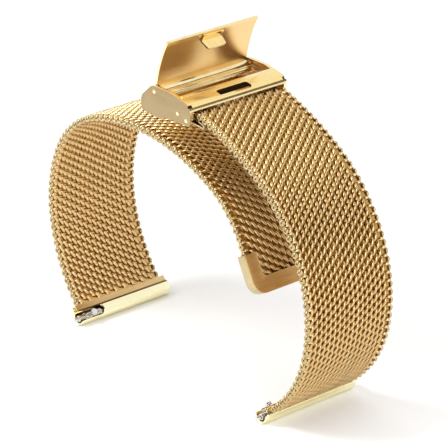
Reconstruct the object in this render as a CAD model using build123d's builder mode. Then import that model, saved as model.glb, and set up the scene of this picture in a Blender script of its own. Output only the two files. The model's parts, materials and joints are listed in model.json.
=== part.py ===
from build123d import *
import os
from math import acos, atan2, cos, degrees, hypot, radians, sin

# A two-piece milanese mesh watch band that stands open as an arch on its two end tubes.
# X runs from the long piece's tube to the short piece's tube, Y across the band and Z up.
# The floor is Z = 0, and the origin lies under the middle of the arch.

# Mesh: each row of linked wire coils is one round bar of the solid, with another bar halfway
mesh_width = 20.0
mesh_thickness = 1.5
row_pitch = 1.5
web_thickness = 0.9
link_gap = 0.06

# Course of the band in its side view: for each stiff length, its count of rows and the angle it bends by
tube_spacing = 52.2
long_heading = 131.3
long_row_counts = [11, 11, 11, 11, 11, 12]
long_bend_angles = [27.9, 36.4, 49.2, 22.9, 22.1, 35.0]
short_heading = -17.4
short_row_counts = [12, 11, 11, 11]
short_bend_angles = [14.2, 31.2, 35.3, 40.7]
seated_rows = 2
capped_rows = 4

# End tubes that hold the spring bars
tube_overhang = 0.7
tube_radius = 1.45
tube_bore_radius = 1.05
lip_reach = 2.2
lip_thickness = 0.35
tab_inset = 0.2
window_length = 5.4
window_width = 2.0

# Quick-release spring bars, each place along a bar measured from the near end of its tube
barrel_radius = 0.85
barrel_inset = 1.2
shaft_radius = 0.6
tip_radius = 0.4
running_gap = 0.05
tip_reach = 1.1
release_travel = 1.2
flange_length = 0.3
knob_place = 2.7
shaft_end = 4.7
spring_start = 6.0
spring_end = 9.7
spring_wall = 0.38
stem_radius = 0.28
knob_radius = 0.65
knob_height = 0.5
knob_reach = 1.95
tip_chamfer = 0.05

# Clasp frame: two cheeks, a base strap at the hinge end and a catch plate at the front
cheek_length = 13.55
cheek_height = 4.95
cheek_thickness = 0.7
cheek_gap = 0.5
plate_thickness = 0.55
base_length = 6.2
base_setback = 0.3
catch_plate_length = 3.7
catch_lip_height = 2.85
slot_width = 7.2
slot_length = 1.8
slot_setback = 0.5
slot_corner_radius = 0.6
relief_back = 0.45
relief_up = 3.7
relief_radius = 0.28

# Rounded corners of the cheek
front_foot_radius = 0.9
nose_radius = 1.4
nose_height_share = 0.56
brow_radius = 2.4
brow_back = 5.6
crown_radius = 1.9
crown_back = 3.8
shoulder_radius = 1.5
shoulder_back = 0.05
shoulder_height_share = 0.31
heel_radius = 0.3

# Clasp pins, each place measured back from the front and up from the foot of the cheeks
pin_radius = 0.4
pin_proud = 0.08
hinge_back = 9.87
hinge_up = 3.86
guide_back = 3.49
guide_up = 1.64
strap_back = 1.18
strap_up = 0.96

# Lid, drawn closed with its length along the clasp and then swung open about its pin
lid_open_angle = 70.6
lid_side_gap = 0.1
lid_thickness = 0.5
lid_start = 0.2
lid_reach = 10.15
lid_start_rise = 0.6
lid_crown_rise = 1.09
lid_end_rise = 0.62
knuckle_radius = 0.85
knuckle_side_gap = 0.1
cam_reach = 1.55
cam_radius = 0.5
cam_neck = 0.5
groove_radius = 0.17
groove_spread = 42.0

# Catch on the inner face of the lid, its places measured back from the lid's end
catch_end_margin = 0.45
catch_foot_length = 1.5
catch_thickness = 0.35
catch_bend_half_width = 2.3
catch_tip_half_width = 2.1
catch_corner_radius = 0.5
catch_tip_back = 2.35
catch_tip_drop = 1.5

# Folded strap end that swings on the front pin
fold_wall = 0.3
fold_reach = 2.95
fold_tip_radius = 0.42
fold_side_gap = 0.15
first_row_reach = 1.6

# Cap on the tail of the long piece
cap_overhang = 2.9
cap_length = 7.4
cap_wall = 0.3
cap_side = 0.5
cap_leg_width = 2.9
cap_cut_length = 4.5
cap_corner_radius = 2.6
cap_cut_radius = 0.8

overrun = 1.0

bead_radius = mesh_thickness / 2
half_width = mesh_width / 2
cheek_inner = half_width + cheek_gap
frame_half_width = cheek_inner + cheek_thickness
bore_radius = shaft_radius + running_gap
pin_bore_radius = pin_radius + running_gap
fold_radius = pin_bore_radius + fold_wall
mesh_lead = lip_reach + bead_radius
tube_length = mesh_width + 2 * tube_overhang
lid_width = 2 * (cheek_inner - lid_side_gap)
catch_foot_end = lid_reach - catch_end_margin
catch_foot_start = catch_foot_end - catch_foot_length
catch_tip_place = lid_reach - catch_tip_back


def step_from(point, heading, along, above=0.0):
    """Return the point a distance along a heading and another to its left."""
    angle = radians(heading)
    return (
        point[0] + along * cos(angle) - above * sin(angle),
        point[1] + along * sin(angle) + above * cos(angle),
    )


def row_course(point, heading, row_counts, bend_angles, first_step, straight_start, straight_end):
    """Return a list of row centres for each piece, and the heading of the last row.

    The rows at the straight start and end keep the heading of the row before.
    """
    course = []
    for number, (count, bend) in enumerate(zip(row_counts, bend_angles)):
        first_turn = straight_start if number == 0 else 0
        end_turn = count - straight_end if number == len(row_counts) - 1 else count
        rows = []
        for row in range(count):
            if first_turn <= row < end_turn:
                heading -= bend / (end_turn - first_turn)
            is_first = number == 0 and row == 0
            point = step_from(point, heading, first_step if is_first else row_pitch)
            rows.append(point)
        course.append(rows)
    return course, heading


def side_plane(point, heading):
    """Return the upright plane at a point of the side view, its X along the heading."""
    angle = radians(heading)
    return Plane(
        origin=(point[0], 0, point[1]), x_dir=(cos(angle), 0, sin(angle)), z_dir=(0, -1, 0)
    )


def width_plane(point, heading, y=0.0):
    """Return the plane through a point of the side view that faces along the heading, its X on Y."""
    angle = radians(heading)
    return Plane(origin=(point[0], y, point[1]), x_dir=(0, 1, 0), z_dir=(cos(angle), 0, sin(angle)))


def midway(start, end):
    """Return the point halfway between two points."""
    return ((start[0] + end[0]) / 2, (start[1] + end[1]) / 2)


def link(start, end, thickness):
    """Draw the strip between two points of a side view."""
    run = (end[0] - start[0], end[1] - start[1])
    with Locations(Location(midway(start, end), degrees(atan2(run[1], run[0])))):
        Rectangle(hypot(run[0], run[1]), thickness)


def save(piece, name):
    """Label a finished piece and write it to its own file."""
    piece.part.label = name
    export_step(piece.part, "parts/" + name + ".step")
    box = piece.part.bounding_box()
    print(name, "solids", len(piece.part.solids()), "volume", round(piece.part.volume, 2), box)


os.makedirs("parts", exist_ok=True)


# Side view of the band
# The short piece is first run from a pin at zero, which shows how high and how far along its
# pin must stand for its tube to rest on the floor.
def short_course(pin):
    """Return the short piece's rows, its last heading and its tube's centre for a strap pin."""
    seat = step_from(pin, short_heading, 0, fold_radius + bead_radius)
    rows, heading = row_course(
        seat, short_heading, short_row_counts, short_bend_angles, first_row_reach, seated_rows, 0
    )
    return rows, heading, step_from(rows[-1][-1], heading, mesh_lead)


def long_course(tube):
    """Return the long piece's rows and its last heading for the centre of its tube."""
    return row_course(
        tube, long_heading, long_row_counts, long_bend_angles, mesh_lead, 1, capped_rows
    )


trial_tube = short_course((0.0, 0.0))[2]
trial_pin = (tube_spacing / 2 - trial_tube[0], tube_radius - trial_tube[1])
trial_rows = short_course(trial_pin)[0] + long_course((-tube_spacing / 2, tube_radius))[0]
trial_x = [point[0] for rows in trial_rows for point in rows]
middle_x = (min(trial_x) + max(trial_x)) / 2

# The arch moves along X so that the origin lies under its middle.
strap_pin = (trial_pin[0] - middle_x, trial_pin[1])
long_tube = (-tube_spacing / 2 - middle_x, tube_radius)
short_rows, short_end_heading, short_tube = short_course(strap_pin)
long_rows, tail_heading = long_course(long_tube)

# Places on the clasp
front_x = strap_pin[0] + strap_back
foot_z = strap_pin[1] - strap_up
rear_x = front_x - cheek_length
crown_z = foot_z + cheek_height
hinge_pin = (front_x - hinge_back, foot_z + hinge_up)
guide_pin = (front_x - guide_back, foot_z + guide_up)


def mesh_piece(name, rows, socket=None, tab=None):
    """Make one stiff length of mesh: a bar for each row, and one between each two rows.

    The socket is the last row of the piece before, and this piece hooks round it.
    The tab is the point where the mesh ends inside its tube.
    """
    linked = [socket] + rows if socket else rows
    between = [midway(start, end) for start, end in zip(linked, linked[1:])]
    with BuildPart() as piece:
        with BuildSketch(Plane.XZ):
            with Locations(*rows, *between):
                Circle(bead_radius)
            if tab:
                nearest = min(rows, key=lambda row: hypot(row[0] - tab[0], row[1] - tab[1]))
                link(tab, nearest, web_thickness)
            if socket:
                with Locations(socket):
                    Circle(bead_radius + link_gap, mode=Mode.SUBTRACT)
        extrude(amount=half_width, both=True)
    save(piece, name)


def clasp_pin(name, point):
    """Make a pin that runs through both cheeks, with its rims broken."""
    with BuildPart() as piece:
        with BuildSketch(side_plane(point, 0)):
            Circle(pin_radius)
        extrude(amount=frame_half_width + pin_proud, both=True)
        chamfer(piece.edges().filter_by(GeomType.CIRCLE), pin_proud)
    save(piece, name)


def lug_tube(name, centre, mesh_heading, inward):
    """Make an end tube curled from sheet, with two lips that hold the mesh.

    Its window is on the side that faces the wrist, and is open at the near end.
    """
    window_round = window_width / 2
    window_straight = window_length - window_round
    with BuildPart() as piece:
        with BuildSketch(side_plane(centre, mesh_heading)):
            Circle(tube_radius)
            with Locations((lip_reach / 2, 0)):
                Rectangle(lip_reach, web_thickness + 2 * lip_thickness)
            Circle(tube_bore_radius, mode=Mode.SUBTRACT)
            with Locations(((lip_reach + overrun) / 2, 0)):
                Rectangle(lip_reach + overrun, web_thickness, mode=Mode.SUBTRACT)
        extrude(amount=tube_length / 2, both=True)
        with BuildSketch(width_plane(centre, inward, -tube_length / 2)):
            with Locations(((window_straight - overrun) / 2, 0)):
                Rectangle(window_straight + overrun, window_width)
            with Locations((window_straight, 0)):
                Circle(window_round)
        extrude(amount=tube_radius + overrun, mode=Mode.SUBTRACT)
    save(piece, name)


def spring_bar(prefix, tube_centre, inward):
    """Make a quick-release spring bar that lies on the floor of its tube."""
    centre = (tube_centre[0], tube_centre[1] - tube_bore_radius + barrel_radius)
    near_y = -tube_length / 2
    angle = radians(inward)
    bar_plane = Plane(
        origin=(centre[0], near_y, centre[1]), x_dir=(cos(angle), 0, sin(angle)), z_dir=(0, 1, 0)
    )
    barrel_end = tube_length - barrel_inset
    slot_radius = stem_radius + running_gap
    knob_plane = width_plane(centre, inward, near_y + knob_place)
    with BuildPart() as barrel:
        with BuildSketch(bar_plane.offset(barrel_inset)):
            Circle(barrel_radius)
        extrude(amount=barrel_end - barrel_inset)
        with BuildSketch(bar_plane.offset(barrel_inset)):
            Circle(bore_radius)
        extrude(amount=spring_end - barrel_inset, mode=Mode.SUBTRACT)
        with BuildSketch(knob_plane):
            Circle(slot_radius)
            with Locations((release_travel / 2, 0)):
                Rectangle(release_travel, 2 * slot_radius)
            with Locations((release_travel, 0)):
                Circle(slot_radius)
        extrude(amount=barrel_radius + overrun, mode=Mode.SUBTRACT)
        with BuildSketch(bar_plane.offset(barrel_end - flange_length)):
            Circle(shaft_radius)
        extrude(amount=flange_length, mode=Mode.SUBTRACT)
    save(barrel, prefix + "_bar_barrel")

    with BuildPart() as fixed_tip:
        with BuildSketch(bar_plane.offset(barrel_end)):
            Circle(barrel_radius)
        extrude(amount=flange_length)
        with BuildSketch(bar_plane.offset(barrel_end - flange_length)):
            Circle(shaft_radius)
        extrude(amount=tube_length - barrel_end + flange_length)
        with BuildSketch(bar_plane.offset(tube_length)):
            Circle(tip_radius)
        extrude(amount=tip_reach)
        chamfer(fixed_tip.faces().sort_by(Axis.Y)[-1].edges(), tip_chamfer)
    save(fixed_tip, prefix + "_bar_fixed_tip")

    with BuildPart() as release_pin:
        with BuildSketch(bar_plane):
            Circle(shaft_radius)
        extrude(amount=shaft_end)
        with BuildSketch(bar_plane):
            Circle(tip_radius)
        extrude(amount=-tip_reach)
        chamfer(release_pin.faces().sort_by(Axis.Y)[0].edges(), tip_chamfer)
        with BuildSketch(knob_plane):
            Circle(stem_radius)
        extrude(amount=knob_reach - knob_height / 2)
        with BuildSketch(knob_plane.offset(knob_reach - knob_height)):
            Circle(knob_radius)
        extrude(amount=knob_height)
    save(release_pin, prefix + "_bar_release_pin")

    with BuildPart() as spring:
        with BuildSketch(bar_plane.offset(spring_start)):
            Circle(shaft_radius)
            Circle(shaft_radius - spring_wall, mode=Mode.SUBTRACT)
        extrude(amount=spring_end - spring_start)
    save(spring, prefix + "_bar_spring")
    return centre


# Clasp frame
# The cheek's outline is the hull of its rounded corners, and the catch plate follows its top.
shoulder_x = rear_x + shoulder_back + shoulder_radius
cheek_corners = [
    ((front_x - front_foot_radius, foot_z + front_foot_radius), front_foot_radius),
    ((front_x - nose_radius, foot_z + cheek_height * nose_height_share), nose_radius),
    ((front_x - brow_back, crown_z - brow_radius), brow_radius),
    ((rear_x + crown_back, crown_z - crown_radius), crown_radius),
    ((shoulder_x, foot_z + cheek_height * shoulder_height_share), shoulder_radius),
    ((rear_x + heel_radius, foot_z + heel_radius), heel_radius),
]
with BuildSketch(Plane.XZ) as cheek_outline:
    for corner, radius in cheek_corners:
        with Locations(corner):
            Circle(radius)
    make_hull(cheek_outline.edges())

catch_plate_middle = (
    front_x - (catch_plate_length - overrun) / 2,
    (foot_z + catch_lip_height + crown_z + overrun) / 2,
)
relief = (front_x - relief_back, foot_z + relief_up)

with BuildPart() as clasp_frame:
    with BuildSketch(Plane.XZ.offset(cheek_inner)):
        add(cheek_outline.sketch_local)
    extrude(amount=cheek_thickness)
    mirror(about=Plane.XZ)
    with BuildSketch(Plane.XZ):
        with Locations((rear_x + base_setback + base_length / 2, foot_z - plate_thickness / 2)):
            Rectangle(base_length, plate_thickness)
    extrude(amount=frame_half_width, both=True)
    with BuildSketch(Plane.XZ):
        add(cheek_outline.sketch_local)
        offset(amount=-plate_thickness, mode=Mode.SUBTRACT)
        with Locations(catch_plate_middle):
            Rectangle(
                catch_plate_length + overrun,
                crown_z + overrun - foot_z - catch_lip_height,
                mode=Mode.INTERSECT,
            )
    extrude(amount=cheek_inner, both=True)
    with BuildSketch(Plane.XY.offset(foot_z + catch_lip_height)):
        with Locations((front_x - slot_setback - slot_length / 2, 0)):
            RectangleRounded(slot_length, slot_width, slot_corner_radius)
    extrude(amount=cheek_height, mode=Mode.SUBTRACT)
    for side_y in (-cheek_inner - cheek_thickness, cheek_inner):
        with BuildSketch(Plane.XZ.offset(-side_y)):
            with Locations(relief):
                Circle(relief_radius)
        extrude(amount=-cheek_thickness, mode=Mode.SUBTRACT)
    for pin_place in (hinge_pin, guide_pin, strap_pin):
        with BuildSketch(side_plane(pin_place, 0)):
            Circle(pin_radius)
        extrude(amount=frame_half_width + overrun, both=True, mode=Mode.SUBTRACT)
save(clasp_frame, "clasp_frame")

clasp_pin("hinge_pin", hinge_pin)
clasp_pin("guide_pin", guide_pin)
clasp_pin("strap_pin", strap_pin)

# Lid
# Its side view is drawn closed, with the hinge at zero and the front of the clasp along X.
lid_plane = side_plane(hinge_pin, lid_open_angle)
knuckle_half_width = half_width - knuckle_side_gap
lid_middle = ((lid_start + lid_reach) / 2, lid_crown_rise)
with BuildLine() as lid_line:
    ThreePointArc((lid_start, lid_start_rise), lid_middle, (lid_reach, lid_end_rise))
with BuildSketch() as lid_sheet:
    trace(lid_line.edges(), line_width=lid_thickness)
with BuildSketch() as lid_knuckle:
    Circle(knuckle_radius)
    with Locations((lid_start, lid_start_rise)):
        Circle(lid_thickness / 2)
    make_hull(lid_knuckle.edges())
with BuildSketch() as lid_cam:
    link((0, 0), (0, -cam_reach), cam_neck)
    with Locations((0, -cam_reach)):
        Circle(cam_radius)

with BuildPart() as lid:
    with BuildSketch(lid_plane):
        add(lid_sheet.sketch_local)
    extrude(amount=lid_width / 2, both=True)
    with BuildSketch(lid_plane):
        add(lid_knuckle.sketch_local)
        add(lid_cam.sketch_local)
        for turn in (-groove_spread, groove_spread):
            groove = step_from((0, -cam_reach), -90 + turn, cam_radius)
            with Locations(groove):
                Circle(groove_radius, mode=Mode.SUBTRACT)
    extrude(amount=knuckle_half_width, both=True)
    with BuildSketch(lid_plane):
        Circle(pin_bore_radius)
    extrude(amount=lid_width, both=True, mode=Mode.SUBTRACT)
save(lid, "lid")

# Catch on the lid
# Its foot follows the inner face of the lid, and its tongue leans back from the foot's end.
lid_arc = lid_line.edges()[0]
foot_arc_radius = lid_arc.radius - (lid_thickness + catch_thickness) / 2
foot_turns = [
    degrees(acos((place - lid_arc.arc_center.X) / foot_arc_radius))
    for place in (catch_foot_end, catch_foot_start)
]
catch_bend = (
    catch_foot_start,
    lid_arc.arc_center.Y + foot_arc_radius * sin(radians(foot_turns[1])),
)
tongue_run = (catch_tip_place - catch_bend[0], -catch_tip_drop - catch_bend[1])
tongue_length = hypot(tongue_run[0], tongue_run[1])
tongue_heading = lid_open_angle + degrees(atan2(tongue_run[1], tongue_run[0]))
bend_point = step_from(hinge_pin, lid_open_angle, catch_bend[0], catch_bend[1])
with BuildLine() as foot_line:
    CenterArc(lid_arc.arc_center, foot_arc_radius, foot_turns[0], foot_turns[1] - foot_turns[0])
with BuildPart() as lid_catch:
    with BuildSketch(lid_plane):
        trace(foot_line.edges(), line_width=catch_thickness)
        with Locations(catch_bend):
            Circle(catch_thickness / 2)
    extrude(amount=catch_bend_half_width, both=True)
    with BuildSketch(width_plane(bend_point, tongue_heading - 90)) as tongue_outline:
        with BuildLine():
            Polyline(
                (-catch_bend_half_width, 0),
                (catch_bend_half_width, 0),
                (catch_tip_half_width, tongue_length),
                (-catch_tip_half_width, tongue_length),
                close=True,
            )
        make_face()
        fillet(tongue_outline.vertices().sort_by(Axis.Y)[-2:], catch_corner_radius)
    extrude(amount=catch_thickness / 2, both=True)
save(lid_catch, "lid_catch")

# Folded strap end on the strap pin
with BuildPart() as strap_end_loop:
    for shrink, mode in ((0, Mode.ADD), (fold_wall, Mode.SUBTRACT)):
        with BuildSketch(side_plane(strap_pin, short_heading)) as fold_outline:
            Circle(fold_radius - shrink)
            with Locations((fold_reach, fold_radius - fold_tip_radius)):
                Circle(fold_tip_radius - shrink)
            make_hull(fold_outline.edges())
        extrude(amount=half_width - fold_side_gap, both=True, mode=mode)
save(strap_end_loop, "strap_end_loop")

# Mesh pieces, each hooked round the last row of the one before
short_mesh_heading = short_end_heading + 180
tab_reach = tube_bore_radius + tab_inset
socket = None
for number, rows in enumerate(short_rows, start=1):
    tab = step_from(short_tube, short_mesh_heading, tab_reach) if number == len(short_rows) else None
    mesh_piece("short_mesh_" + str(number), rows, socket, tab)
    socket = rows[-1]
socket = None
for number, rows in enumerate(long_rows, start=1):
    tab = step_from(long_tube, long_heading, tab_reach) if number == 1 else None
    mesh_piece("long_mesh_" + str(number), rows, socket, tab)
    socket = rows[-1]

# End tubes and their spring bars, each window turned towards the wrist
lug_tube("short_lug_tube", short_tube, short_mesh_heading, short_mesh_heading + 90)
lug_tube("long_lug_tube", long_tube, long_heading, long_heading - 90)
short_bar = spring_bar("short", short_tube, short_mesh_heading + 90)
long_bar = spring_bar("long", long_tube, long_heading - 90)

# Cap on the tail
tail_row = long_rows[-1][-1]
cap_half_width = half_width + cap_side
cap_start = cap_overhang - cap_length
with BuildPart() as tail_cap:
    with BuildSketch(width_plane(tail_row, tail_heading - 90)) as cap_outline:
        with Locations((0, cap_start + cap_length / 2)):
            Rectangle(2 * cap_half_width, cap_length)
        fillet(cap_outline.vertices().sort_by(Axis.Y)[-2:], cap_corner_radius)
        with Locations((0, cap_start + cap_cut_length / 2 - overrun)):
            RectangleRounded(
                2 * (cap_half_width - cap_leg_width),
                cap_cut_length + 2 * overrun,
                cap_cut_radius,
                mode=Mode.SUBTRACT,
            )
    extrude(amount=bead_radius + cap_wall, both=True)
    with BuildSketch(side_plane(tail_row, tail_heading)):
        with Locations(((cap_start - overrun + bead_radius) / 2, 0)):
            Rectangle(bead_radius + overrun - cap_start, mesh_thickness)
    extrude(amount=half_width, both=True, mode=Mode.SUBTRACT)
save(tail_cap, "tail_cap")

print("strap pin", strap_pin, "hinge pin", hinge_pin, "guide pin", guide_pin)
print("long tube", long_tube, "short tube", short_tube, "mesh headings", long_heading, short_mesh_heading)
print("long bar", long_bar, "short bar", short_bar)
print("tail", tail_row, tail_heading)
print("last rows", [rows[-1] for rows in short_rows], [rows[-1] for rows in long_rows])
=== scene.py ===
"""Milanese mesh watch band: the dressed model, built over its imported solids.

The band stands as an arch on its two end tubes. X runs from the long piece's tube to the
short piece's tube, Y goes across the band and Z goes up. Lengths are written in millimetres
and turned into metres by MM. Angles are in degrees where nothing else is said. Each
sub-assembly is a class, and main() builds them in order.
"""

import json
import logging
from dataclasses import dataclass, field, replace
from enum import Enum
from math import atan2, cos, pi, radians, sin
from typing import Callable, Optional, Sequence

import bpy
from mathutils import Matrix, Vector

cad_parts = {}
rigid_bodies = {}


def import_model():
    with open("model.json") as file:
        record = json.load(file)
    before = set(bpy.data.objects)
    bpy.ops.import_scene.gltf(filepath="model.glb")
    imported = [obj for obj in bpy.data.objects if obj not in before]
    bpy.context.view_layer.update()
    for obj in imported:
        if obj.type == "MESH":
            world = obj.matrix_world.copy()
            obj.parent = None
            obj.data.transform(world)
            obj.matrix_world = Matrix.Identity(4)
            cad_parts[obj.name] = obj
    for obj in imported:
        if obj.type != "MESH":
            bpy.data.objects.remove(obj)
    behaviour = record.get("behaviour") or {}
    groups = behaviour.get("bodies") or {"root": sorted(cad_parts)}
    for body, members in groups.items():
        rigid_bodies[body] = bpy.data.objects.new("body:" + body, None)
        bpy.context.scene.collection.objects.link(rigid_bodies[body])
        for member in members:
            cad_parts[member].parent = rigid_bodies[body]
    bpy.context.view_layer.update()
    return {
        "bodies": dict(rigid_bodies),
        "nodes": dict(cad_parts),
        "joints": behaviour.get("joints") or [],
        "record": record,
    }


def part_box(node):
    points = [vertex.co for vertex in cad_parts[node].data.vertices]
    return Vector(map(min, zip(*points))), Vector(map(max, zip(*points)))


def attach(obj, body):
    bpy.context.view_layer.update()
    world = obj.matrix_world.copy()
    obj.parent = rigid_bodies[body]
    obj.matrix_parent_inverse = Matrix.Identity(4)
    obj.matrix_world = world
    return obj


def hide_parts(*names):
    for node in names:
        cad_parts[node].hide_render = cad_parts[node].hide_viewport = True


Point = tuple[float, float]
Place = tuple[float, float, float]
Colour = tuple[float, float, float]
FaceTest = Callable[[Vector, Vector], bool]

MM: float = 0.001
PROUD: str = "proud"
LOG = logging.getLogger("mesh_band")

# Where the tubes and the strap pin lie in the side view, and how the mesh leaves the tubes.
LONG_TUBE: Point = (-26.986, 1.45)
LONG_HEADING: float = 131.3
SHORT_TUBE: Point = (25.214, 1.45)
SHORT_HEADING: float = 41.2
STRAP_PIN: Point = (5.622425, 51.528115)

# How the dressed copies of the solids are cleaned and shaded.
MERGE_GAP: float = 0.002
FLAT_ANGLE: float = 0.5
SOLID_CREASE: float = 32.0
SHEET_CREASE: float = 35.0

# The roughness of the floor and the card.
DULL: float = 0.9


class Hand(Enum):
    """The way a coil turns as it rises."""

    RIGHT = 1.0
    LEFT = -1.0


class Row(Enum):
    """The two kinds of coil that interlock: a full one, and one half a turn in from each edge."""

    EVEN = "even"
    ODD = "odd"


# Finishes, painted shade and painted reflections among them


@dataclass(frozen=True)
class MetalFinish:
    """One metal finish: its colours, its roughness and the marks in its surface.

    Attributes:
        name: The name of its material.
        light: The paler of its two colours, in linear RGB.
        dark: The darker of its two colours.
        roughness: Its least roughness.
        roughness_spread: What the grain adds to the roughness.
        grain: The length of the grain along X, Y and Z.
        mark_depth: The depth of the fine marks.
        mottle_size: The size of the mottles between the two colours.
        painted_depth_shade: The painted shade in the depth of the weave, a darker colour for wire.
    """

    name: str
    light: Colour
    dark: Colour
    roughness: float
    roughness_spread: float
    grain: Place
    mark_depth: float
    mottle_size: float = 4.0
    painted_depth_shade: Optional[Colour] = None


# The wire's finish; its dark colour in the depth of the weave is painted shade.
MESH_GOLD = MetalFinish(
    "mesh_gold",
    light=(0.84, 0.63, 0.36),
    dark=(0.70, 0.50, 0.25),
    roughness=0.16,
    roughness_spread=0.10,
    grain=(0.9, 0.9, 0.9),
    mark_depth=0.02,
    mottle_size=3.0,
    painted_depth_shade=(0.50, 0.31, 0.10),
)
# A paler copy of the wire's finish for the long strand: painted light that lifts it where it lies in shade
# under the short strand.
PAINTED_LIT_MESH_GOLD = replace(
    MESH_GOLD,
    name="pale_mesh_gold",
    light=(0.91, 0.69, 0.40),
    dark=(0.77, 0.56, 0.29),
    painted_depth_shade=(0.62, 0.41, 0.16),
)
BEAD_GOLD = MetalFinish(
    "bead_gold",
    light=(0.66, 0.52, 0.29),
    dark=(0.48, 0.36, 0.17),
    roughness=0.2,
    roughness_spread=0.08,
    grain=(0.6, 0.6, 0.6),
    mark_depth=0.02,
    mottle_size=1.2,
)
# Painted shade: the dark disc that fills the hollow of an edge ring.
BEAD_HOLLOW_SHADE = MetalFinish(
    "bead_core",
    light=(0.22, 0.15, 0.06),
    dark=(0.14, 0.09, 0.03),
    roughness=0.3,
    roughness_spread=0.08,
    grain=(0.6, 0.6, 0.6),
    mark_depth=0.02,
    mottle_size=1.2,
)
CHEEK_GOLD = MetalFinish(
    "cheek_gold",
    light=(0.49, 0.37, 0.205),
    dark=(0.43, 0.32, 0.17),
    roughness=0.45,
    roughness_spread=0.10,
    grain=(6.0, 0.25, 0.16),
    mark_depth=0.04,
    mottle_size=8.0,
)
# Painted shade: the cheek's metal darkened on its inner sides, inside the frame.
CHEEK_INNER_SHADE = MetalFinish(
    "cheek_inner",
    light=(0.42, 0.24, 0.085),
    dark=(0.33, 0.17, 0.055),
    roughness=0.25,
    roughness_spread=0.10,
    grain=(3.0, 0.5, 0.4),
    mark_depth=0.02,
)
INNER_GOLD = MetalFinish(
    "inner_gold",
    light=(0.84, 0.56, 0.24),
    dark=(0.74, 0.45, 0.17),
    roughness=0.25,
    roughness_spread=0.10,
    grain=(3.0, 0.5, 0.4),
    mark_depth=0.02,
)
PLATE_GOLD = MetalFinish(
    "plate_gold",
    light=(0.99, 0.78, 0.36),
    dark=(0.95, 0.73, 0.30),
    roughness=0.24,
    roughness_spread=0.06,
    grain=(1.5, 7.0, 1.5),
    mark_depth=0.006,
    mottle_size=6.0,
)
RIM_GOLD = MetalFinish(
    "rim_gold",
    light=(0.97, 0.84, 0.52),
    dark=(0.88, 0.72, 0.40),
    roughness=0.16,
    roughness_spread=0.06,
    grain=(2.0, 2.0, 2.0),
    mark_depth=0.01,
)
LID_GOLD = MetalFinish(
    "lid_gold",
    light=(0.92, 0.64, 0.29),
    dark=(0.85, 0.56, 0.23),
    roughness=0.26,
    roughness_spread=0.06,
    grain=(1.5, 7.0, 1.5),
    mark_depth=0.006,
    mottle_size=6.0,
)
CATCH_GOLD = MetalFinish(
    "catch_gold",
    light=(1.0, 0.80, 0.38),
    dark=(0.94, 0.70, 0.30),
    roughness=0.14,
    roughness_spread=0.06,
    grain=(2.0, 2.0, 2.0),
    mark_depth=0.01,
)
SHADED_GOLD = MetalFinish(
    "shaded_gold",
    light=(0.10, 0.05, 0.015),
    dark=(0.05, 0.025, 0.008),
    roughness=0.5,
    roughness_spread=0.10,
    grain=(0.5, 2.0, 0.5),
    mark_depth=0.02,
)
# Painted shade: a dark colour along the plate's front bend, under the catch, inside the strap end's fold and
# in the tubes' grooves.
EDGE_SHADE_GOLD = MetalFinish(
    "edge_gold",
    light=(0.27, 0.18, 0.07),
    dark=(0.18, 0.11, 0.04),
    roughness=0.4,
    roughness_spread=0.10,
    grain=(0.5, 2.0, 0.5),
    mark_depth=0.02,
)
TUBE_GOLD = MetalFinish(
    "tube_gold",
    light=(0.98, 0.93, 0.63),
    dark=(0.95, 0.88, 0.56),
    roughness=0.08,
    roughness_spread=0.06,
    grain=(0.4, 7.0, 0.4),
    mark_depth=0.006,
)
# Painted reflection: the tube's metal darkened where the lip towards the wrist reflects the mesh.
LIP_REFLECTION_GOLD = MetalFinish(
    "lip_gold",
    light=(0.74, 0.52, 0.26),
    dark=(0.60, 0.40, 0.18),
    roughness=0.26,
    roughness_spread=0.10,
    grain=(0.4, 5.0, 0.4),
    mark_depth=0.02,
)
CAP_GOLD = MetalFinish(
    "cap_gold",
    light=(0.94, 0.66, 0.30),
    dark=(0.82, 0.54, 0.22),
    roughness=0.36,
    roughness_spread=0.10,
    grain=(0.3, 6.0, 0.3),
    mark_depth=0.04,
)
CAP_RIM = MetalFinish(
    "cap_rim",
    light=(0.66, 0.56, 0.34),
    dark=(0.52, 0.43, 0.24),
    roughness=0.3,
    roughness_spread=0.10,
    grain=(0.3, 6.0, 0.3),
    mark_depth=0.02,
)
BAR_STEEL = MetalFinish(
    "bar_steel",
    light=(0.88, 0.88, 0.87),
    dark=(0.66, 0.66, 0.66),
    roughness=0.2,
    roughness_spread=0.10,
    grain=(0.3, 2.5, 0.3),
    mark_depth=0.02,
    mottle_size=2.0,
)


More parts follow.
